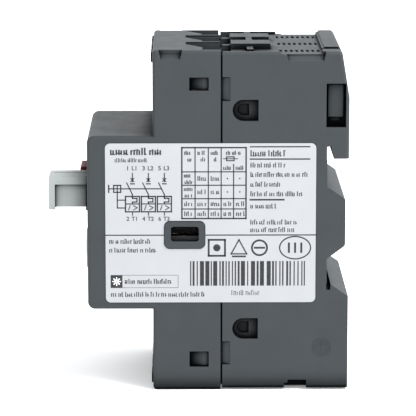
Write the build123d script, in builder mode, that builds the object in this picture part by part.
from build123d import *
import os
from math import atan, cos, radians, sin

# Three-pole motor protection breaker for a 35 mm rail, push-button operated, shown switched off.
# Millimetres. X runs across the poles, Y from the front (-Y) to the rail (+Y), Z up.
# The origin is the centre of the 35 mm rail on the plane where the rail seats.

os.makedirs("parts", exist_ok=True)

# ---------------------------------------------------------------- driving dimensions
POLE_PITCH = 14.3        # centre to centre of the three poles
WALL = 1.6               # side walls, and the partitions between poles
HEIGHT = 89.0            # front housing, bottom to top
REAR_STEP = 0.4          # the rear housing is this much shorter at each end
TAIL_DEPTH = 5.6         # rail seat back to the rearmost face
REAR_DEPTH = 27.2        # rail seat forward to the split between the housings
BLOCK_DEPTH = 17.7       # split forward to the face of the terminal blocks
NOSE_DEPTH = 16.9        # terminal block face forward to the operating face
NOSE_HEIGHT = 45.5
NOSE_CENTRE = -0.25      # height of the nose's middle above the rail centre
FRONT_WALL = 2.0         # wall behind the operating face
SPLIT_GROOVE = 0.5       # width of the groove round the split
SPLIT_GROOVE_DEPTH = 0.9
RAIL_HEIGHT = 35.0
RAIL_SLOT = 1.05         # slot that takes the edge of the rail
SLOT_RELIEF = 0.1        # the slots' floors are this far below the rail seats
SEAT_GAP = 0.1           # between fixed pieces that sit together
HOUSING_GAP = 0.02       # between the two housings where they meet
SLIDE_GAP = 0.25         # between moving pieces and what guides them

# ---------------------------------------------------------------- places worked out from them
WIDTH = 3 * POLE_PITCH + WALL
HALF_W = WIDTH / 2
HALF_H = HEIGHT / 2
REAR_HALF_H = HALF_H - REAR_STEP
SPLIT_Y = -REAR_DEPTH
FRONT_BACK_Y = SPLIT_Y - SPLIT_GROOVE / 2
REAR_FRONT_Y = FRONT_BACK_Y + HOUSING_GAP
GROOVE_Y = FRONT_BACK_Y + SPLIT_GROOVE
BLOCK_Y = SPLIT_Y - BLOCK_DEPTH
NOSE_Y = BLOCK_Y - NOSE_DEPTH
NOSE_TOP = NOSE_CENTRE + NOSE_HEIGHT / 2
NOSE_BOTTOM = NOSE_CENTRE - NOSE_HEIGHT / 2
CHAMBER_Y = NOSE_Y + FRONT_WALL          # inner face of the operating wall
CHAMBER_TOP = NOSE_TOP - WALL
CHAMBER_BOTTOM = NOSE_BOTTOM + WALL
CHAMBER_X = HALF_W - WALL
BAY_HALF = (POLE_PITCH - WALL) / 2
POLE_X = [-POLE_PITCH, 0, POLE_PITCH]
ENDS = [1, -1]                            # line terminals above, load terminals below

# ---------------------------------------------------------------- terminals
TERMINAL_INSET = 10.5                     # screw axis below the housing's end
TERMINAL_Z = HALF_H - TERMINAL_INSET
SCREW_R = 2.0
SCREW_HEAD_R = 3.1
SCREW_HEAD_LENGTH = 2.4
ACCESS_R = 3.3
ACCESS_TUBE_WALL = 1.2
ENTRY_LIP = 0.25                          # bay wall left beside the wire entry
ENTRY_HALF_W = BAY_HALF - ENTRY_LIP       # wire entry, across the pole
ENTRY_FRONT_Y = SPLIT_Y - 4.9
ENTRY_REAR_Y = SPLIT_Y + 2.6
SNAP_ARM_IN = 1.35                        # inner face of the snap arms, in from the side wall
CAGE_HALF_W = BAY_HALF - SNAP_ARM_IN - SLIDE_GAP
CAGE_WALL = 1.2
CAGE_HEIGHT = 8.0
CAGE_TRAVEL = 4.0
PAD_Y = SPLIT_Y - 4.4                     # front face of the terminal pads
COPPER = 1.5
PAD_HALF_W = CAGE_HALF_W - CAGE_WALL - SLIDE_GAP
PAD_LENGTH = 11.0
WIRE_SPACE = 5.3                          # open cage, behind the pad
CAGE_FRONT_Y = PAD_Y - SEAT_GAP - CAGE_WALL - 0.4
CAGE_REAR_Y = PAD_Y + COPPER + WIRE_SPACE + CAGE_WALL
SCREW_SEAT_Y = CAGE_FRONT_Y - CAGE_TRAVEL - SLIDE_GAP
HEAD_FRONT_Y = SCREW_SEAT_Y - SCREW_HEAD_LENGTH

# ---------------------------------------------------------------- contacts and arc chambers
BACK_Y = -1.8                             # inner face of the rear wall
ARC_FRONT_Y = -12.8
ARC_CEILING = REAR_HALF_H - 4.2
BAY_CEILING = REAR_HALF_H - 1.8
SHELF_TOP = TERMINAL_Z - 7.6              # shelves that carry the conductors
SHELF_THICKNESS = 3.6
SHELF_FRONT_Y = SPLIT_Y + 4.2
SHELF_REAR_Y = -17.0
RISER_Y = SHELF_REAR_Y + 0.3              # front face of the fixed contact risers
TIP_Z = 10.0
TIP_LENGTH = 3.0
TIP_THICKNESS = 1.0
CONTACT_GAP = 3.2
BRIDGE_HALF_W = 2.0
BRIDGE_Y = RISER_Y - 2 * TIP_THICKNESS - CONTACT_GAP - COPPER - 0.05

# ---------------------------------------------------------------- buttons and mechanism
BUTTON_X = 7.6                            # centre of the start button; the stop button mirrors it
BUTTON_HALF_W = 5.0
BUTTON_TOP = 10.3
BUTTON_HEIGHT = 8.8
BUTTON_Z = BUTTON_TOP - BUTTON_HEIGHT / 2
START_PROUD = 10.4
STOP_PROUD = 2.65
START_TRAVEL = 8.0
STOP_TRAVEL = 2.0
LEVER_ARM = 12.0                          # pivot to button pin
PIVOT_Z = BUTTON_Z + LEVER_ARM
PIN_R = 1.0
PIN_PLAY = 0.2
CAM_ARM = LEVER_ARM * CONTACT_GAP / START_TRAVEL * 1.05
START_PIN_Y = NOSE_Y + 9.8
STOP_PIN_Y = NOSE_Y + 6.3
LEVER_X = (14.2, 16.2)
HORN_X = (16.9, 18.4)
LEVER_SHAFT_R = 1.5
TRIP_SHAFT_R = 1.2
SPRING_WIRE = 0.7
SPRING_R = 2.7
FRAME_PLATE = 1.2
FRAME_BACK_Y = BLOCK_Y + 4.9

# ---------------------------------------------------------------- trip units
COIL_Z = -8.4
COIL_R = 4.2
COIL_FRONT_Y = BLOCK_Y + 2.7
COIL_REAR_Y = SPLIT_Y - 4.0
YOKE_PLATE = 1.0
YOKE_GAP = 0.75                           # beside the yokes, to the bay walls
YOKE_HALF_W = BAY_HALF - YOKE_GAP
PLUNGER_R = 2.0
PLUNGER_TRAVEL = 2.0
PRESSED_SPRING = 2.5                      # plunger to core when the plunger is drawn in
STRIP_Z = CHAMBER_BOTTOM + 3.3
STRIP_HEIGHT = 3.6
STRIP_THICKNESS = 1.0
TRIP_BAR_TRAVEL = 1.5

# ---------------------------------------------------------------- dial and test slot
DIAL_X, DIAL_Z = 8.0, -9.5
DIAL_R = 5.3
DIAL_STEM_R = 2.8
CAM_R = (3.1, 4.3)                        # spiral cam on the dial's stem, least and greatest radius
CAM_RISE = CAM_R[1] - CAM_R[0]            # adjuster travel over the dial's range
CAM_DEPTH = (0.9, 2.7)                    # cam, behind the inner face of the operating wall
DIAL_HALF_TURN = 135
TEST_X, TEST_Z = -9.0, -10.0
TEST_W, TEST_H = 2.6, 4.6
TEST_TRAVEL = 1.5
TEST_STEM = 3.3                           # test slider's stem behind the wall, beyond its travel

# ---------------------------------------------------------------- outer details
EDGE_R = 0.9
NOSE_CORNER_R = 1.9
LABEL_T = 0.12
LABEL_Y = (SPLIT_Y - 29.9, SPLIT_Y + 24.3)
LABEL_Z = (-21.1, 20.6)
LABEL_R = 1.3
BOSS_Y = (SPLIT_Y - 14.7, SPLIT_Y - 4.3)
BOSS_Z = (-6.85, 0.25)
BOSS_R = 1.4
BOSS_PROUD = 0.35
BOSS_WINDOW_MARGIN = 1.6
HOOK_WINDOW_Y = (SPLIT_Y - 8.3, SPLIT_Y - 3.3)
HOOK_WINDOW_Z = {1: (34.2 - 44.5, 37.6 - 44.5), -1: (34.2 - 44.5, 38.3 - 44.5)}  # from the end
VENT_FLOOR = REAR_HALF_H - 0.7
VENT_COUNT = 8
VENT_PITCH = 1.38
VENT_W = 0.7
VENT_HALF_LENGTH = 1.9
FIRST_VENT_Y = -11.9
BAR_HALF_W = 3.9
BAR_TOP = REAR_HALF_H + 0.8
BAR_Y = (SPLIT_Y + 2.6, SPLIT_Y + 12.8)


# ---------------------------------------------------------------- helpers
def box_between(x, y, z, mode=Mode.ADD):
    """A box between two limits on each axis, in the part being built."""
    with Locations(((x[0] + x[1]) / 2, (y[0] + y[1]) / 2, (z[0] + z[1]) / 2)):
        Box(x[1] - x[0], y[1] - y[0], z[1] - z[0], mode=mode)


def rod_y(x, z, radius, y, mode=Mode.ADD):
    """A cylinder along Y between two depths."""
    with Locations(Location((x, (y[0] + y[1]) / 2, z), (90, 0, 0))):
        Cylinder(radius, y[1] - y[0], mode=mode)


def rod_x(y, z, radius, x, mode=Mode.ADD):
    """A cylinder along X between two widths."""
    with Locations(Location(((x[0] + x[1]) / 2, y, z), (0, 90, 0))):
        Cylinder(radius, x[1] - x[0], mode=mode)


def end_z(end, low, high):
    """A height range given above the rail centre, turned over for the lower end."""
    return (low, high) if end > 0 else (-high, -low)


def around(centre, half):
    return (centre - half, centre + half)


def mirrored(side, low, high):
    """A width range on the +X side, turned over for the -X side."""
    return (low, high) if side > 0 else (-high, -low)


def edge_scoop(y, lengths, top, drop, depth=1.6, rise=1.2):
    """A tapered scoop in the upper edge of each side, for clips on a side-mounted block.

    Lengths are at the top and at the bottom; its floor slopes down to the side.
    """
    upper, lower = lengths[0] / 2, lengths[1] / 2
    spread = (upper - lower) / drop
    for side in (1, -1):
        with BuildSketch(Plane.YZ.offset(side * (HALF_W + 0.5))) as scoop:
            with BuildLine():
                Polyline(
                    (y - upper - spread, top + 1),
                    (y - lower, top - drop),
                    (y + lower, top - drop),
                    (y + upper + spread, top + 1),
                    close=True,
                )
            make_face()
        extrude(scoop.sketch, amount=-side * (depth + 0.5), mode=Mode.SUBTRACT)
        with BuildSketch(Plane.XZ.offset(upper - y)) as ledge:
            with BuildLine():
                Polyline(
                    (side * (HALF_W - depth - 0.1), top - drop - 0.1),
                    (side * HALF_W, top - drop - 0.1),
                    (side * HALF_W, top - drop),
                    (side * (HALF_W - depth), top - drop + rise),
                    (side * (HALF_W - depth - 0.1), top - drop + rise),
                    close=True,
                )
            make_face()
        extrude(ledge.sketch, amount=-2 * upper)


def keep(builder, node):
    """Labels a finished piece and writes its STEP file."""
    builder.part.label = node
    export_step(builder.part, f"parts/{node}.step")


# ---------------------------------------------------------------- front housing
def nose_vertices(found):
    return found.group_by(Axis.X)[0]


def block_vertices(found):
    return found.filter_by(lambda v: abs(v.Y) > HALF_H - 0.01 and v.X < FRONT_BACK_Y - 1)


with BuildPart() as front_housing:
    with BuildSketch(Plane.YZ):
        with BuildLine():
            Polyline(
                (FRONT_BACK_Y, HALF_H),
                (BLOCK_Y, HALF_H),
                (BLOCK_Y, NOSE_TOP),
                (NOSE_Y, NOSE_TOP),
                (NOSE_Y, NOSE_BOTTOM),
                (BLOCK_Y, NOSE_BOTTOM),
                (BLOCK_Y, -HALF_H),
                (FRONT_BACK_Y, -HALF_H),
                close=True,
            )
        make_face()
        fillet(nose_vertices(vertices()), NOSE_CORNER_R)
        fillet(block_vertices(vertices()), EDGE_R)
    extrude(amount=HALF_W, both=True)
    side_edges = faces().filter_by(Axis.X).edges()
    fillet(side_edges.filter_by(lambda e: e.center().Y < FRONT_BACK_Y - 0.01), EDGE_R)

    # mechanism chamber behind the nose, and one bay for each terminal
    box_between(
        (-CHAMBER_X, CHAMBER_X),
        (CHAMBER_Y, FRONT_BACK_Y),
        (CHAMBER_BOTTOM, CHAMBER_TOP),
        Mode.SUBTRACT,
    )
    for end in ENDS:
        bay_in = NOSE_TOP if end > 0 else -NOSE_BOTTOM
        for x in POLE_X:
            box_between(
                around(x, BAY_HALF),
                (BLOCK_Y + WALL, FRONT_BACK_Y),
                end_z(end, bay_in, HALF_H - WALL),
                Mode.SUBTRACT,
            )

    # shelf that carries the magnetic trips
    shelf_z = COIL_Z - COIL_R - 2 * SEAT_GAP
    box_between((-CHAMBER_X, CHAMBER_X), (COIL_FRONT_Y, COIL_REAR_Y), (shelf_z - 1.7, shelf_z))

    # screwdriver tubes over the terminal screws
    for end in ENDS:
        for x in POLE_X:
            rod_y(
                x,
                end * TERMINAL_Z,
                ACCESS_R + ACCESS_TUBE_WALL,
                (BLOCK_Y + WALL / 2, HEAD_FRONT_Y - SLIDE_GAP),
            )
            rod_y(
                x,
                end * TERMINAL_Z,
                ACCESS_R,
                (BLOCK_Y - 1, HEAD_FRONT_Y),
                Mode.SUBTRACT,
            )
            # raised pad on the face, near the end of the block
            box_between(
                around(x, 3.6),
                (BLOCK_Y - 0.45, BLOCK_Y + WALL / 2),
                end_z(end, HALF_H - 3.5, HALF_H - 1.0),
            )

    # wire entries through the end walls, each with a tapered slot for a comb busbar tag
    for end in ENDS:
        for x in POLE_X:
            box_between(
                around(x, ENTRY_HALF_W),
                (ENTRY_FRONT_Y, FRONT_BACK_Y),
                end_z(end, HALF_H - 2 * WALL, HALF_H + 1),
                Mode.SUBTRACT,
            )
            with BuildSketch(Plane.XY.offset(end * (HALF_H - WALL / 2))):
                with BuildLine():
                    Polyline(
                        (x - ENTRY_HALF_W, ENTRY_FRONT_Y + 0.1),
                        (x - ENTRY_HALF_W, ENTRY_FRONT_Y - 4.2),
                        (x - ENTRY_HALF_W + 0.8, ENTRY_FRONT_Y - 4.2),
                        (x + 1.0, ENTRY_FRONT_Y + 0.1),
                        close=True,
                    )
                make_face()
            extrude(amount=WALL, both=True, mode=Mode.SUBTRACT)

    # fins between the upper wire entries
    for x in (-POLE_PITCH / 2, POLE_PITCH / 2):
        box_between(around(x, 0.5), (ENTRY_FRONT_Y - 4.2, FRONT_BACK_Y), (HALF_H - WALL / 2, HALF_H + 0.4))

    edge_scoop(BLOCK_Y + 4.6, (6.1, 4.9), HALF_H, 2.35)

    # windows for the snap hooks, through both side walls
    for side in (1, -1):
        for end in ENDS:
            low, high = HOOK_WINDOW_Z[end]
            box_between(
                mirrored(side, HALF_W - 2 * WALL, HALF_W + 1),
                HOOK_WINDOW_Y,
                end_z(end, HALF_H + low, HALF_H + high),
                Mode.SUBTRACT,
            )

    # boss and window where an auxiliary block couples to the contact carrier
    boss_y, boss_z = sum(BOSS_Y) / 2, sum(BOSS_Z) / 2
    boss_l, boss_h = BOSS_Y[1] - BOSS_Y[0], BOSS_Z[1] - BOSS_Z[0]
    with BuildSketch(Plane.YZ.offset(HALF_W - WALL / 2)):
        with Locations((boss_y, boss_z)):
            RectangleRounded(boss_l, boss_h, BOSS_R)
    extrude(amount=WALL / 2 + BOSS_PROUD)
    with BuildSketch(Plane.YZ):
        with Locations((boss_y + 0.05, boss_z + 0.25)):
            RectangleRounded(boss_l - 2 * BOSS_WINDOW_MARGIN, boss_h - 2 * BOSS_WINDOW_MARGIN, 0.7)
    extrude(amount=HALF_W + 1, both=True, mode=Mode.SUBTRACT)

    # openings in the operating face: two buttons, dial, test slot
    for side in (1, -1):
        box_between(
            mirrored(side, BUTTON_X - BUTTON_HALF_W - SLIDE_GAP, BUTTON_X + BUTTON_HALF_W + SLIDE_GAP),
            (NOSE_Y - 1, CHAMBER_Y + 1),
            around(BUTTON_Z, BUTTON_HEIGHT / 2 + SLIDE_GAP),
            Mode.SUBTRACT,
        )
        # guard rib beside each button
        box_between(
            mirrored(side, BUTTON_X + BUTTON_HALF_W + 0.6, BUTTON_X + BUTTON_HALF_W + 1.8),
            (NOSE_Y - 0.6, NOSE_Y + 0.5),
            (BUTTON_Z - 4.2, BUTTON_Z + 2.6),
        )
    rod_y(DIAL_X, DIAL_Z, DIAL_R + SLIDE_GAP, (NOSE_Y - 1, NOSE_Y + 1.1), Mode.SUBTRACT)
    rod_y(DIAL_X, DIAL_Z, DIAL_STEM_R + 0.1, (NOSE_Y, CHAMBER_Y + 1), Mode.SUBTRACT)
    box_between(
        around(TEST_X, TEST_W / 2 + 0.2),
        (NOSE_Y - 1, CHAMBER_Y + 1),
        around(TEST_Z, TEST_H / 2 + 0.2),
        Mode.SUBTRACT,
    )
keep(front_housing, "front_housing")

# ---------------------------------------------------------------- rear housing
HOOK_BOTTOM = RAIL_HEIGHT / 2 - 1.0       # the upper hook reaches over the rail by this much
SLOT_TOP = RAIL_HEIGHT / 2 + 2.2
SLOT_BOTTOM = -RAIL_HEIGHT / 2 - 0.4
LIP_TOP = -RAIL_HEIGHT / 2 + 1.1          # the lower hook's lip
HUMP_DEPTH = 4.75

with BuildPart() as rear_housing:
    with BuildSketch(Plane.YZ):
        with BuildLine():
            Polyline(
                (REAR_FRONT_Y, REAR_HALF_H),
                (TAIL_DEPTH - 1.95, REAR_HALF_H),
                (TAIL_DEPTH, REAR_HALF_H - 11.9),
                (TAIL_DEPTH, HOOK_BOTTOM),
                (1.6, HOOK_BOTTOM),
                (RAIL_SLOT, HOOK_BOTTOM + 2.5),
                (RAIL_SLOT, SLOT_TOP),
                (-SLOT_RELIEF, SLOT_TOP),
                (-SLOT_RELIEF, HOOK_BOTTOM - 0.3),
                (0, HOOK_BOTTOM - 0.3),
                (0, 9.3),
                (HUMP_DEPTH, 6.0),
                (HUMP_DEPTH, -6.2),
                (0, -9.75),
                (0, LIP_TOP + 0.3),
                (-SLOT_RELIEF, LIP_TOP + 0.3),
                (-SLOT_RELIEF, SLOT_BOTTOM),
                (RAIL_SLOT - 0.1, SLOT_BOTTOM),
                (RAIL_SLOT, LIP_TOP),
                (TAIL_DEPTH, -RAIL_HEIGHT / 2 - 2.0),
                (TAIL_DEPTH, -REAR_HALF_H),
                (REAR_FRONT_Y, -REAR_HALF_H),
                close=True,
            )
        make_face()
        hump_corners = vertices().filter_by(lambda v: abs(v.Y) < 7 and v.X > 1)
        fillet(hump_corners, 1.0)
        tail_corners = vertices().filter_by(lambda v: v.Y > 30 and v.X > 1)
        fillet(tail_corners, 0.8)
    extrude(amount=HALF_W, both=True)
    end_edges = faces().filter_by(Axis.Z).edges().filter_by(Axis.Y)
    fillet(end_edges.filter_by(lambda e: abs(e.center().Z) > REAR_HALF_H - 0.01), EDGE_R)

    # groove round the split, outside the seat
    for side in (1, -1):
        box_between(
            mirrored(side, HALF_W - SPLIT_GROOVE_DEPTH, HALF_W + 1),
            (REAR_FRONT_Y - 1, GROOVE_Y),
            (-HALF_H, HALF_H),
            Mode.SUBTRACT,
        )
    for end in ENDS:
        box_between(
            (-HALF_W - 1, HALF_W + 1),
            (REAR_FRONT_Y - 1, GROOVE_Y),
            end_z(end, REAR_HALF_H - SPLIT_GROOVE_DEPTH, HALF_H + 1),
            Mode.SUBTRACT,
        )

    # pole bays: contact zone, then the arc chamber behind it, at both ends
    for x in POLE_X:
        box_between(
            around(x, BAY_HALF),
            (REAR_FRONT_Y, ARC_FRONT_Y),
            (-BAY_CEILING, BAY_CEILING),
            Mode.SUBTRACT,
        )
        box_between(
            around(x, BAY_HALF),
            (ARC_FRONT_Y, BACK_Y),
            (-ARC_CEILING, ARC_CEILING),
            Mode.SUBTRACT,
        )
        for end in ENDS:
            box_between(
                around(x, BAY_HALF + WALL / 4),
                (SHELF_FRONT_Y, SHELF_REAR_Y),
                end_z(end, SHELF_TOP - SHELF_THICKNESS, SHELF_TOP),
            )

    # sunk top around the wire entries and the vents
    box_between(
        (-CHAMBER_X, CHAMBER_X),
        (ENTRY_REAR_Y, SPLIT_Y + 15.1),
        (VENT_FLOOR, REAR_HALF_H + 1),
        Mode.SUBTRACT,
    )
    box_between(
        (-HALF_W - 1, HALF_W + 1),
        (SPLIT_Y + 15.1, -1.3),
        (VENT_FLOOR, REAR_HALF_H + 1),
        Mode.SUBTRACT,
    )
    box_between((14.3, 15.9), (-1.4, TAIL_DEPTH), (VENT_FLOOR + 0.1, REAR_HALF_H + 1), Mode.SUBTRACT)

    # raised ridge along the rear of the top, with a sloping front
    with BuildSketch(Plane.YZ.offset(-HALF_W + 0.6)):
        with BuildLine():
            Polyline(
                (-1.4, VENT_FLOOR - 0.2),
                (-0.6, REAR_HALF_H + 0.35),
                (2.9, REAR_HALF_H + 0.35),
                (3.5, REAR_HALF_H - 0.1),
                (3.5, VENT_FLOOR - 0.2),
                close=True,
            )
        make_face()
    extrude(amount=HALF_W + 13.5)

    # ladder of bars between the poles, with a cross rib
    for x in (-POLE_PITCH / 2, POLE_PITCH / 2):
        box_between(around(x, BAR_HALF_W), BAR_Y, (VENT_FLOOR - 0.5, BAR_TOP))
    rib_y = (SPLIT_Y + 6.6, SPLIT_Y + 8.2)
    box_between((-POLE_PITCH / 2, POLE_PITCH / 2), rib_y, (VENT_FLOOR - 0.5, BAR_TOP - 0.05))
    box_between((POLE_PITCH / 2, 17.2), rib_y, (VENT_FLOOR - 0.5, REAR_HALF_H + 0.1))
    box_between((-CHAMBER_X - 0.5, -POLE_PITCH / 2), rib_y, (VENT_FLOOR - 0.5, REAR_HALF_H))

    # wire entries, the rear part of each
    for end in ENDS:
        for x in POLE_X:
            box_between(
                around(x, ENTRY_HALF_W),
                (REAR_FRONT_Y, ENTRY_REAR_Y),
                end_z(end, BAY_CEILING - 1, REAR_HALF_H + 2),
                Mode.SUBTRACT,
            )

    # vent slots over and under the arc chambers
    vent_y = FIRST_VENT_Y + VENT_PITCH * (VENT_COUNT - 1) / 2
    for end in ENDS:
        for x in POLE_X:
            with BuildSketch(Plane.XY.offset(end * (REAR_HALF_H + 1))):
                with Locations((x, vent_y)):
                    with GridLocations(1, VENT_PITCH, 1, VENT_COUNT):
                        Rectangle(2 * VENT_HALF_LENGTH, VENT_W)
            extrude(amount=-end * (REAR_HALF_H + 2 - ARC_CEILING), mode=Mode.SUBTRACT)

    edge_scoop(-5.6, (10.2, 9.1), REAR_HALF_H, 2.35)
    for side in (1, -1):
        notch_x = mirrored(side, HALF_W - 3.2, HALF_W + 1)
        box_between(notch_x, (-10.0, -5.1), (-REAR_HALF_H - 1, -REAR_HALF_H + 2.3), Mode.SUBTRACT)
        box_between(notch_x, (-10.9, -5.1), (-REAR_HALF_H - 1, -REAR_HALF_H + 1.5), Mode.SUBTRACT)

    for side in (1, -1):
        for end in ENDS:
            # keyed recess: a D-shaped pocket with a D-shaped hole in its floor, in a thickened wall
            d_z = end * (HALF_H - (15.4 if end > 0 else 16.4))
            box_between(
                mirrored(side, CHAMBER_X - 1.3, CHAMBER_X + 0.5),
                (-24.9, -17.3),
                around(d_z, 3.2),
            )
            for (y0, y1, half, depth) in ((-24.4, -17.75, 2.75, 1.7), (-23.2, -20.1, 1.55, 2.5)):
                with BuildSketch(Plane.YZ.offset(side * (HALF_W + 0.5))):
                    with Locations((y0 + half, d_z)):
                        Circle(half)
                    with Locations(((y0 + half + y1) / 2, d_z)):
                        Rectangle(y1 - y0 - half, 2 * half)
                extrude(amount=-side * (depth + 0.5), mode=Mode.SUBTRACT)
            # prying recess beside the split, deepest at the split
            recess_z = end_z(end, HALF_H - 13.0, HALF_H - 6.8)
            with BuildSketch(Plane.XY.offset(recess_z[0])):
                with BuildLine():
                    Polyline(
                        (side * (HALF_W + 0.1), GROOVE_Y - 0.1),
                        (side * (HALF_W - 0.75), GROOVE_Y - 0.1),
                        (side * (HALF_W - 0.3), GROOVE_Y + 1.6),
                        (side * (HALF_W + 0.1), GROOVE_Y + 2.2),
                        close=True,
                    )
                make_face()
            extrude(amount=recess_z[1] - recess_z[0], mode=Mode.SUBTRACT)
            # snap arm with its hook, inside the front housing
            low, high = HOOK_WINDOW_Z[end]
            arm_z = end_z(end, HALF_H + low + 0.2, HALF_H + high - 0.2)
            box_between(
                mirrored(side, CHAMBER_X - SNAP_ARM_IN, CHAMBER_X - SLIDE_GAP),
                (HOOK_WINDOW_Y[0] - 0.4, REAR_FRONT_Y + 1.5),
                arm_z,
            )
            box_between(
                mirrored(side, CHAMBER_X - 0.9, CHAMBER_X + 0.5),
                (REAR_FRONT_Y, REAR_FRONT_Y + 1.5),
                arm_z,
            )
            with BuildSketch(Plane.XY.offset(arm_z[0])):
                with BuildLine():
                    Polyline(
                        (side * (CHAMBER_X - 0.6), HOOK_WINDOW_Y[0] - 0.4),
                        (side * (CHAMBER_X - SLIDE_GAP), HOOK_WINDOW_Y[0] + 0.2),
                        (side * (CHAMBER_X + 0.9), HOOK_WINDOW_Y[1] - 1.4),
                        (side * (CHAMBER_X + 0.9), HOOK_WINDOW_Y[1] - 0.2),
                        (side * (CHAMBER_X - 0.6), HOOK_WINDOW_Y[1] - 0.2),
                        close=True,
                    )
                make_face()
            extrude(amount=arm_z[1] - arm_z[0])

        # side slot behind the seat plane, with the tongue that locks a side-mounted block
        slot_x = mirrored(side, HALF_W - 3.4, HALF_W + 1)
        box_between(slot_x, (-0.4, 4.7), (24.7, 36.0), Mode.SUBTRACT)
        box_between(mirrored(side, HALF_W - 4, HALF_W - 1.3), (0.15, 3.95), (27.3, 35.6))
        box_between(mirrored(side, HALF_W - 4, HALF_W - 2.1), (0.9, 3.1), (26.2, 27.4))

    # pocket for the rail pusher and its spring, above the rail slot
    box_between((-15.5, 15.5), (0, RAIL_SLOT), (SLOT_TOP - 1, SLOT_TOP + 3.6), Mode.SUBTRACT)

    # cored panels in the rear faces
    for end in ENDS:
        for x in POLE_X:
            box_between(
                around(x, 4.4),
                (TAIL_DEPTH - 1.2, TAIL_DEPTH + 1),
                end_z(end, 22.5, REAR_HALF_H - 13.0),
                Mode.SUBTRACT,
            )
    for x in POLE_X:
        box_between(around(x, 4.4), (HUMP_DEPTH - 1.2, HUMP_DEPTH + 1), (-4.2, 4.0), Mode.SUBTRACT)
keep(rear_housing, "rear_housing")

# ---------------------------------------------------------------- labels
with BuildPart() as side_label:
    with BuildSketch(Plane.YZ.offset(HALF_W)):
        with Locations((sum(LABEL_Y) / 2, sum(LABEL_Z) / 2)):
            RectangleRounded(LABEL_Y[1] - LABEL_Y[0], LABEL_Z[1] - LABEL_Z[0], LABEL_R)
        with Locations((boss_y, boss_z)):
            RectangleRounded(boss_l + 0.3, boss_h + 0.3, BOSS_R + 0.15, mode=Mode.SUBTRACT)
    extrude(amount=LABEL_T)
keep(side_label, "side_label")

with BuildPart() as front_label:
    with BuildSketch(Plane.XZ.offset(-NOSE_Y)):
        with Locations((0, BUTTON_TOP + 6.0)):
            RectangleRounded(30.0, 6.4, 0.8)
    extrude(amount=LABEL_T)
keep(front_label, "front_label")


# ---------------------------------------------------------------- buttons
def button(side, proud, rear_y, pin_y, bore_y):
    """A push-button cap with its stem, retaining flange, spring bore and drive pin."""
    with BuildPart() as made:
        x_in, x_out = BUTTON_X - BUTTON_HALF_W, BUTTON_X + BUTTON_HALF_W
        z_low = BUTTON_Z - BUTTON_HEIGHT / 2
        front = NOSE_Y - proud
        box_between(mirrored(side, x_in, x_out), (front, front + 1.7), (z_low, BUTTON_TOP))
        fillet(faces().sort_by(Axis.Y)[0].edges(), 0.5)
        box_between(mirrored(side, x_in, x_out), (front + 1.2, rear_y), (BUTTON_TOP - 2.1, BUTTON_TOP))
        box_between(
            mirrored(side, x_in + 1.0, x_out - 1.0),
            (front + 1.2, rear_y),
            (z_low + 0.6, BUTTON_TOP - 2.0),
        )
        box_between(
            mirrored(side, x_in - 0.8, x_out + 0.8),
            (CHAMBER_Y + 0.2, CHAMBER_Y + 1.4),
            (z_low - 0.8, BUTTON_TOP + 0.8),
        )
        box_between(
            mirrored(side, BUTTON_X - 1.5, BUTTON_X - 1.1),
            (front + 1.2, NOSE_Y + 1),
            (BUTTON_TOP - 0.35, BUTTON_TOP + 1),
            Mode.SUBTRACT,
        )
        rod_y(side * BUTTON_X, BUTTON_Z, SPRING_R + 0.35, (bore_y, rear_y + 1), Mode.SUBTRACT)
        rod_x(pin_y, BUTTON_Z, PIN_R, mirrored(side, x_out - 1.8, LEVER_X[1] - 0.2))
    return made


START_REAR_Y = START_PIN_Y + 1.5
STOP_REAR_Y = STOP_PIN_Y + 1.5
START_BORE_Y = NOSE_Y - START_PROUD + 6.2
STOP_BORE_Y = NOSE_Y + 1.8
start_button = button(1, START_PROUD, START_REAR_Y, START_PIN_Y, START_BORE_Y)
keep(start_button, "start_button")
stop_button = button(-1, STOP_PROUD, STOP_REAR_Y, STOP_PIN_Y, STOP_BORE_Y)
keep(stop_button, "stop_button")


def coil_spring(x, z, y, radius, wire, turns):
    """A compression spring along Y between two depths, closed flat inside them."""
    length = y[1] - y[0] - wire
    with BuildPart() as made:
        with BuildLine():
            path = Helix(
                pitch=length / turns,
                height=length,
                radius=radius - wire / 2,
                center=(x, y[0] + wire / 2, z),
                direction=(0, 1, 0),
            )
        with BuildSketch(Plane(origin=path @ 0, z_dir=path % 0)):
            Circle(wire / 2)
        sweep(is_frenet=True)
    return made


start_spring = coil_spring(
    BUTTON_X, BUTTON_Z, (START_BORE_Y + SEAT_GAP, FRAME_BACK_Y - SEAT_GAP), SPRING_R, SPRING_WIRE, 9
)
keep(start_spring, "start_spring")
stop_spring = coil_spring(
    -BUTTON_X, BUTTON_Z, (STOP_BORE_Y + SEAT_GAP, FRAME_BACK_Y - SEAT_GAP), SPRING_R, SPRING_WIRE, 7
)
keep(stop_spring, "stop_spring")

# ---------------------------------------------------------------- setting dial, adjuster, test slider
def cam_point(angle):
    """A point on the dial's cam, at an angle in degrees from the +X side."""
    radius = CAM_R[0] + CAM_RISE * (angle + DIAL_HALF_TURN) / (2 * DIAL_HALF_TURN)
    return DIAL_X + radius * cos(radians(angle)), DIAL_Z + radius * sin(radians(angle))


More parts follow.
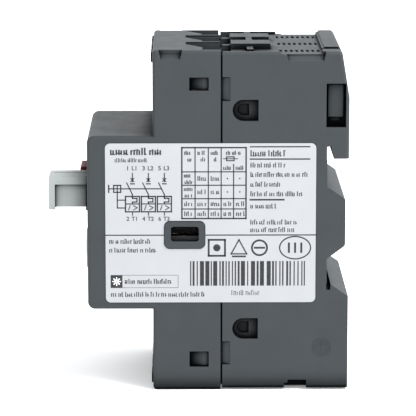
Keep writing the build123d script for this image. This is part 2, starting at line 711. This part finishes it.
with BuildPart() as setting_dial:
    rod_y(DIAL_X, DIAL_Z, DIAL_R, (NOSE_Y - 0.7, NOSE_Y + 1.0))
    fillet(edges().filter_by(GeomType.CIRCLE).sort_by(Axis.Y)[0], 0.4)
    rod_y(DIAL_X, DIAL_Z, DIAL_STEM_R, (NOSE_Y + 0.9, CHAMBER_Y + 2.7))
    # spiral cam that pushes the adjuster as the dial turns; its mid setting faces +X
    with BuildSketch(Plane.XZ.offset(-(CHAMBER_Y + CAM_DEPTH[0]))):
        with BuildLine():
            cam = Spline(*[cam_point(angle) for angle in range(-DIAL_HALF_TURN, DIAL_HALF_TURN + 1, 15)])
            Line(cam @ 1, cam @ 0)
        make_face()
    extrude(amount=-(CAM_DEPTH[1] - CAM_DEPTH[0]))
    # screwdriver slot with an arrowhead at its upper end
    with BuildSketch(Plane.XZ.offset(-(NOSE_Y - 1))):
        with Locations((DIAL_X, DIAL_Z)):
            Rectangle(1.0, 2 * DIAL_R - 3.0)
            with Locations((0, DIAL_R - 2.0)):
                Triangle(a=2.8, b=2.3, c=2.3, align=(Align.CENTER, Align.MAX))
    extrude(amount=-1.1, mode=Mode.SUBTRACT)
keep(setting_dial, "setting_dial")

with BuildPart() as adjuster:
    foot_x = DIAL_X + sum(CAM_R) / 2 + SLIDE_GAP
    box_between((foot_x, CHAMBER_X - 1.3), (CHAMBER_Y + 1.0, CHAMBER_Y + 2.6), around(DIAL_Z, 2.5))
    box_between((15.0, 17.0), (CHAMBER_Y + 1.0, CHAMBER_Y + 8.0), around(DIAL_Z, 1.0))
keep(adjuster, "adjuster")

with BuildPart() as test_slider:
    box_between(
        around(TEST_X, TEST_W / 2),
        (NOSE_Y + 0.4, CHAMBER_Y + TEST_STEM + TEST_TRAVEL),
        around(TEST_Z, TEST_H / 2),
    )
    fillet(faces().sort_by(Axis.Y)[0].edges(), 0.3)
    box_between(
        around(TEST_X, TEST_W / 2 + 1),
        (CHAMBER_Y + 0.2, CHAMBER_Y + 1.2),
        around(TEST_Z, TEST_H / 2 + 1),
    )
keep(test_slider, "test_slider")

# ---------------------------------------------------------------- mechanism
SIDE_PLATE_X = CHAMBER_X - 0.45
SHAFT_Y = START_PIN_Y + START_TRAVEL / 2
TRIP_SHAFT_Y = STOP_PIN_Y + STOP_TRAVEL / 2
with BuildPart() as mechanism_frame:
    plate_z = (PIVOT_Z - 3.1, CHAMBER_TOP - 0.3)
    for x in (SIDE_PLATE_X - FRAME_PLATE / 2, 0, -SIDE_PLATE_X + FRAME_PLATE / 2):
        box_between(around(x, FRAME_PLATE / 2), (CHAMBER_Y + 2.5, FRAME_BACK_Y + FRAME_PLATE), plate_z)
    box_between((-SIDE_PLATE_X, SIDE_PLATE_X), (FRAME_BACK_Y, FRAME_BACK_Y + FRAME_PLATE), plate_z)
    box_between((-15.5, 15.5), (FRAME_BACK_Y, FRAME_BACK_Y + FRAME_PLATE), (1.5, plate_z[1]))
    for y, radius in ((SHAFT_Y, LEVER_SHAFT_R), (TRIP_SHAFT_Y, TRIP_SHAFT_R)):
        rod_x(y, PIVOT_Z, radius + 0.05, (-CHAMBER_X, CHAMBER_X), Mode.SUBTRACT)
keep(mechanism_frame, "mechanism_frame")

for y, radius, node in (
    (SHAFT_Y, LEVER_SHAFT_R, "lever_shaft"),
    (TRIP_SHAFT_Y, TRIP_SHAFT_R, "trip_shaft"),
):
    with BuildPart() as shaft:
        rod_x(y, PIVOT_Z, radius, (-CHAMBER_X + SLIDE_GAP, CHAMBER_X - SLIDE_GAP))
    keep(shaft, node)


def lever(pivot_y, shaft_r, travel, x):
    """A lever on a cross shaft. Its slot takes a button's pin, and it leans towards the front at rest."""
    lean = atan(travel / 2 / LEVER_ARM)
    leaning = (0, cos(lean), -sin(lean))
    with BuildPart() as made:
        with BuildSketch(Plane(origin=(x[0], pivot_y, PIVOT_Z), x_dir=leaning, z_dir=(1, 0, 0))):
            Circle(2.4)
            with Locations((0, -(LEVER_ARM + 2.6) / 2)):
                Rectangle(4.2, LEVER_ARM + 2.6)
            with Locations((0, -LEVER_ARM)):
                SlotCenterToCenter(1.6, 2 * (PIN_R + PIN_PLAY), rotation=90, mode=Mode.SUBTRACT)
            Circle(shaft_r + 0.05, mode=Mode.SUBTRACT)
        extrude(amount=x[1] - x[0])
    return made, lean


start_lever, start_lean = lever(SHAFT_Y, LEVER_SHAFT_R, START_TRAVEL, LEVER_X)
CAM_Y = SHAFT_Y - CAM_ARM * sin(start_lean)
CAM_Z = PIVOT_Z - CAM_ARM * cos(start_lean)
with start_lever:
    rod_x(CAM_Y, CAM_Z, PIN_R, (LEVER_X[1] - 0.5, HORN_X[1] + 0.2))
keep(start_lever, "start_lever")
trip_lever, _ = lever(TRIP_SHAFT_Y, TRIP_SHAFT_R, STOP_TRAVEL, (-LEVER_X[1], -LEVER_X[0]))
keep(trip_lever, "trip_lever")

# ---------------------------------------------------------------- contact carrier and bridges
CROSSBAR_Y = (SPLIT_Y - 7.0, SPLIT_Y - 4.0)
CROSSBAR_Z = (-2.8, 3.4)
with BuildPart() as contact_carrier:
    box_between((-CHAMBER_X + 0.35, CHAMBER_X - 0.35), CROSSBAR_Y, CROSSBAR_Z)
    for x in POLE_X:
        arm_end = BRIDGE_Y + COPPER + 1.0
        box_between(around(x, 3.6), (CROSSBAR_Y[1] - 0.5, arm_end), (-2.2, 2.8))
        box_between(
            around(x, BRIDGE_HALF_W + 0.3),
            (CROSSBAR_Y[1] + 1.0, BRIDGE_Y + COPPER + SEAT_GAP),
            (-3.2, 3.8),
            Mode.SUBTRACT,
        )
    # horn up to the start lever's cam pin, ending in a fork
    box_between(HORN_X, CROSSBAR_Y, (0, CAM_Z - 1.6))
    box_between(HORN_X, (CAM_Y - 2.7, CROSSBAR_Y[1]), (CAM_Z - 3.4, CAM_Z - 1.6))
    box_between(HORN_X, around(CAM_Y, 2.7), (CAM_Z - 3.4, CAM_Z + 1.3))
    box_between(HORN_X, around(CAM_Y, PIN_R + PIN_PLAY), (CAM_Z - 1.5, CAM_Z + 2), Mode.SUBTRACT)
keep(contact_carrier, "contact_carrier")

for number, x in enumerate(POLE_X, 1):
    with BuildPart() as contact_bridge:
        box_between(around(x, BRIDGE_HALF_W), (BRIDGE_Y, BRIDGE_Y + COPPER), (-12, 12))
        fillet(edges().filter_by(Axis.Y), 0.8)
    keep(contact_bridge, f"contact_bridge_{number}")

with BuildPart() as bridge_tips:
    for x in POLE_X:
        for end in ENDS:
            y = BRIDGE_Y + COPPER
            box_between(around(x, 1.8), (y, y + TIP_THICKNESS), around(end * TIP_Z, TIP_LENGTH / 2))
keep(bridge_tips, "bridge_tips")

with BuildPart() as contact_springs:
    for x in POLE_X:
        spring = coil_spring(
            x, 0.3, (CROSSBAR_Y[1] + 1.0 + SEAT_GAP, BRIDGE_Y - SEAT_GAP), 1.7, 0.5, 3.5
        )
        add(spring.part)
keep(contact_springs, "contact_springs")

# ---------------------------------------------------------------- terminals
TERMINALS = [("L", 1), ("T", -1)]
for letter, end in TERMINALS:
    for number, x in enumerate(POLE_X, 1):
        z = end * TERMINAL_Z
        with BuildPart() as clamp_screw:
            rod_y(x, z, SCREW_HEAD_R, (HEAD_FRONT_Y, SCREW_SEAT_Y))
            fillet(edges().filter_by(GeomType.CIRCLE).sort_by(Axis.Y)[0], 0.4)
            rod_y(x, z, SCREW_R, (SCREW_SEAT_Y - 0.5, PAD_Y - SEAT_GAP))
            for width, height in ((0.9, 4.6), (4.6, 0.9)):
                box_between(
                    around(x, width / 2),
                    (HEAD_FRONT_Y - 1, HEAD_FRONT_Y + 1.3),
                    around(z, height / 2),
                    Mode.SUBTRACT,
                )
        keep(clamp_screw, f"clamp_screw_{letter}{number}")
        with BuildPart() as clamp_cage:
            cage_z = around(z, CAGE_HEIGHT / 2)
            box_between(around(x, CAGE_HALF_W), (CAGE_FRONT_Y, CAGE_REAR_Y), cage_z)
            fillet(edges().filter_by(Axis.Z), 0.8)
            box_between(
                around(x, CAGE_HALF_W - CAGE_WALL),
                (CAGE_FRONT_Y + CAGE_WALL + 0.4, CAGE_REAR_Y - CAGE_WALL),
                (cage_z[0] - 1, cage_z[1] + 1),
                Mode.SUBTRACT,
            )
            rod_y(x, z, SCREW_R + 0.05, (CAGE_FRONT_Y - 1, PAD_Y), Mode.SUBTRACT)
        keep(clamp_cage, f"clamp_cage_{letter}{number}")

# ---------------------------------------------------------------- conductors
PAD_IN = TERMINAL_Z - 6.0
LEG_Z = (SHELF_TOP + SEAT_GAP, SHELF_TOP + SEAT_GAP + COPPER)
for number, x in enumerate(POLE_X, 1):
    across = around(x, PAD_HALF_W)
    with BuildPart() as line_conductor:
        box_between(across, (PAD_Y, PAD_Y + COPPER), (LEG_Z[0], PAD_IN + PAD_LENGTH))
        box_between(across, (PAD_Y, RISER_Y + COPPER), LEG_Z)
        box_between(across, (RISER_Y, RISER_Y + COPPER), (TIP_Z - 2.0, LEG_Z[1]))
    keep(line_conductor, f"line_conductor_{number}")

    riser_x = (x - PAD_HALF_W, x - STRIP_THICKNESS / 2 - SEAT_GAP)
    with BuildPart() as load_conductor:
        box_between(across, (PAD_Y, PAD_Y + COPPER), (-PAD_IN - PAD_LENGTH, -LEG_Z[0]))
        box_between(across, (PAD_Y, SHELF_FRONT_Y - 0.2), (-LEG_Z[1], -LEG_Z[0]))
        riser_y = (SHELF_FRONT_Y - 0.2 - COPPER, SHELF_FRONT_Y - 0.2)
        box_between(riser_x, riser_y, (-LEG_Z[1], STRIP_Z + STRIP_HEIGHT / 2))
        box_between(riser_x, (SPLIT_Y - 4.8, riser_y[1]), around(STRIP_Z, STRIP_HEIGHT / 2))
    keep(load_conductor, f"load_conductor_{number}")

    with BuildPart() as coil_conductor:
        box_between(across, (RISER_Y, RISER_Y + COPPER), (-SHELF_TOP + 0.4, -TIP_Z + 2.0))
        box_between((x + 1.0, x + PAD_HALF_W), (SPLIT_Y - 0.8, RISER_Y + COPPER), (-14.6, -13.1))
    keep(coil_conductor, f"coil_conductor_{number}")

with BuildPart() as fixed_tips:
    for x in POLE_X:
        for end in ENDS:
            box_between(
                around(x, 1.8),
                (RISER_Y - TIP_THICKNESS, RISER_Y),
                around(end * TIP_Z, TIP_LENGTH / 2),
            )
keep(fixed_tips, "fixed_tips")

# ---------------------------------------------------------------- arc chutes
CHUTE_PLATES = 8
CHUTE_IN = TIP_Z + 4.0
CHUTE_OUT = ARC_CEILING - 0.4
CHUTE_WALL = 0.6
chute_half_w = BAY_HALF - SLIDE_GAP
plate_half_w = chute_half_w - CHUTE_WALL - SEAT_GAP
plate_pitch = (CHUTE_OUT - CHUTE_IN - 2.0) / (CHUTE_PLATES - 1)
plate_y = (ARC_FRONT_Y + 0.6, BACK_Y - 0.8)
for end, node in ((1, "arc_plates_upper"), (-1, "arc_plates_lower")):
    levels = [end * (CHUTE_IN + 1.0 + i * plate_pitch) for i in range(CHUTE_PLATES)]
    with BuildPart() as arc_plates:
        with BuildSketch(*[Plane.XY.offset(z) for z in levels]):
            with Locations(*[(x, sum(plate_y) / 2) for x in POLE_X]):
                Rectangle(2 * plate_half_w, plate_y[1] - plate_y[0])
            with Locations(*[(x, plate_y[0] + 2.0) for x in POLE_X]):
                Rectangle(2.6, 4.1, mode=Mode.SUBTRACT)
        extrude(amount=0.5, both=True)
    keep(arc_plates, node)

with BuildPart() as arc_chute_walls:
    for end in ENDS:
        for x in POLE_X:
            for side in (1, -1):
                wall_x = mirrored(side, plate_half_w + SEAT_GAP, chute_half_w)
                box_between(
                    (x + wall_x[0], x + wall_x[1]),
                    (ARC_FRONT_Y + 0.4, BACK_Y - 0.4),
                    end_z(end, CHUTE_IN, CHUTE_OUT),
                )
keep(arc_chute_walls, "arc_chute_walls")

# ---------------------------------------------------------------- magnetic trips
BOBBIN_Y = (COIL_FRONT_Y + YOKE_PLATE + SEAT_GAP, COIL_REAR_Y - YOKE_PLATE - SEAT_GAP)
BOBBIN_BORE = PLUNGER_R + 0.3
BOBBIN_TUBE = BOBBIN_BORE + 0.5
FLANGE = 0.7
CORE_FRONT_Y = BOBBIN_Y[1] - 3.0
with BuildPart() as magnet_yokes:
    for x in POLE_X:
        box_between(around(x, YOKE_HALF_W), (COIL_FRONT_Y, COIL_REAR_Y), around(COIL_Z, COIL_R + 0.1))
        box_between(
            around(x, YOKE_HALF_W - YOKE_PLATE),
            (COIL_FRONT_Y + YOKE_PLATE, COIL_REAR_Y - YOKE_PLATE),
            around(COIL_Z, COIL_R + 1),
            Mode.SUBTRACT,
        )
        rod_y(x, COIL_Z, PLUNGER_R + 0.2, (COIL_FRONT_Y - 1, COIL_FRONT_Y + 2), Mode.SUBTRACT)
        # fixed core, riveted in the rear plate
        rod_y(x, COIL_Z, PLUNGER_R, (CORE_FRONT_Y, COIL_REAR_Y))
keep(magnet_yokes, "magnet_yokes")

with BuildPart() as coil_bobbins:
    for x in POLE_X:
        rod_y(x, COIL_Z, BOBBIN_TUBE, BOBBIN_Y)
        for y in (BOBBIN_Y[0], BOBBIN_Y[1] - FLANGE):
            rod_y(x, COIL_Z, COIL_R, (y, y + FLANGE))
        rod_y(x, COIL_Z, BOBBIN_BORE, (BOBBIN_Y[0] - 1, BOBBIN_Y[1] + 1), Mode.SUBTRACT)
keep(coil_bobbins, "coil_bobbins")

WINDING_TURNS = 6
winding_y = (BOBBIN_Y[0] + FLANGE + SEAT_GAP, BOBBIN_Y[1] - FLANGE - SEAT_GAP)
turn_pitch = (winding_y[1] - winding_y[0]) / WINDING_TURNS
with BuildPart() as coil_windings:
    for x in POLE_X:
        inner = BOBBIN_TUBE + SEAT_GAP
        rod_y(x, COIL_Z, inner + 0.45, winding_y)
        for i in range(WINDING_TURNS):
            y = winding_y[0] + (i + 0.5) * turn_pitch
            rod_y(x, COIL_Z, COIL_R - 0.25, around(y, turn_pitch * 0.42))
        rod_y(x, COIL_Z, inner, (winding_y[0] - 1, winding_y[1] + 1), Mode.SUBTRACT)
keep(coil_windings, "coil_windings")

PLUNGER_Y = (COIL_FRONT_Y - 1.4, CORE_FRONT_Y - PRESSED_SPRING - PLUNGER_TRAVEL)
for number, x in enumerate(POLE_X, 1):
    with BuildPart() as plunger:
        rod_y(x, COIL_Z, PLUNGER_R, PLUNGER_Y)
        chamfer(edges().filter_by(GeomType.CIRCLE), 0.4)
    keep(plunger, f"plunger_{number}")

with BuildPart() as plunger_springs:
    for x in POLE_X:
        spring = coil_spring(
            x, COIL_Z, (PLUNGER_Y[1] + SEAT_GAP, CORE_FRONT_Y - SEAT_GAP), PLUNGER_R - 0.1, 0.4, 4
        )
        add(spring.part)
keep(plunger_springs, "plunger_springs")

# ---------------------------------------------------------------- thermal trips
STRIP_Y = (CHAMBER_Y + 1.8, SPLIT_Y - 1.8)
with BuildPart() as bimetal_strips:
    for x in POLE_X:
        box_between(around(x, STRIP_THICKNESS / 2), STRIP_Y, around(STRIP_Z, STRIP_HEIGHT / 2))
keep(bimetal_strips, "bimetal_strips")

HEATER_TURNS = 7
heater_y = (CHAMBER_Y + 9.0, SPLIT_Y - 7.0)
heater_pitch = (heater_y[1] - heater_y[0]) / HEATER_TURNS
with BuildPart() as heater_windings:
    for x in POLE_X:
        for i in range(HEATER_TURNS):
            y = heater_y[0] + (i + 0.5) * heater_pitch
            box_between(around(x, 1.7), around(y, 0.6), around(STRIP_Z, STRIP_HEIGHT / 2 + 0.8))
        box_between((x + 1.1, x + 1.7), heater_y, around(STRIP_Z, 0.8))
        box_between(
            around(x, STRIP_THICKNESS / 2 + SEAT_GAP),
            (heater_y[0] - 1, heater_y[1] + 1),
            around(STRIP_Z, STRIP_HEIGHT / 2 + SEAT_GAP),
            Mode.SUBTRACT,
        )
keep(heater_windings, "heater_windings")

with BuildPart() as trip_bar:
    bar_y = (CHAMBER_Y + 1.4, CHAMBER_Y + 3.0)
    half_length = CHAMBER_X - TRIP_BAR_TRAVEL / 2 - 0.3
    box_between(
        (-half_length - TRIP_BAR_TRAVEL / 2, half_length - TRIP_BAR_TRAVEL / 2),
        bar_y,
        (STRIP_Z - 2.9, STRIP_Z + 3.3),
    )
    for x in POLE_X:
        reach = STRIP_THICKNESS / 2 + 0.4
        box_between(
            (x - reach - TRIP_BAR_TRAVEL, x + reach),
            (bar_y[0] - 1, bar_y[1] + 1),
            around(STRIP_Z, STRIP_HEIGHT / 2 + 0.4),
            Mode.SUBTRACT,
        )
keep(trip_bar, "trip_bar")

# ---------------------------------------------------------------- rail pusher
PUSHER_Y = (0.12, RAIL_SLOT - 0.12)
PUSHER_Z = (RAIL_HEIGHT / 2 + 0.35, SLOT_TOP + 0.9)
with BuildPart() as rail_pusher:
    box_between((-12, 12), PUSHER_Y, PUSHER_Z)
    fillet(edges().filter_by(Axis.Y), 0.5)
keep(rail_pusher, "rail_pusher")

with BuildPart() as rail_spring:
    wave_low, wave_high = PUSHER_Z[1] + SEAT_GAP, SLOT_TOP + 3.6 - SEAT_GAP
    strip = 0.4
    with BuildSketch(Plane.XZ.offset(-PUSHER_Y[0])):
        with BuildLine():
            crown = ThreePointArc((-14, wave_high - strip), (0, wave_low), (14, wave_high - strip))
            offset(crown, amount=strip, side=Side.LEFT, closed=True)
        make_face()
    extrude(amount=-(PUSHER_Y[1] - PUSHER_Y[0]))
keep(rail_spring, "rail_spring")
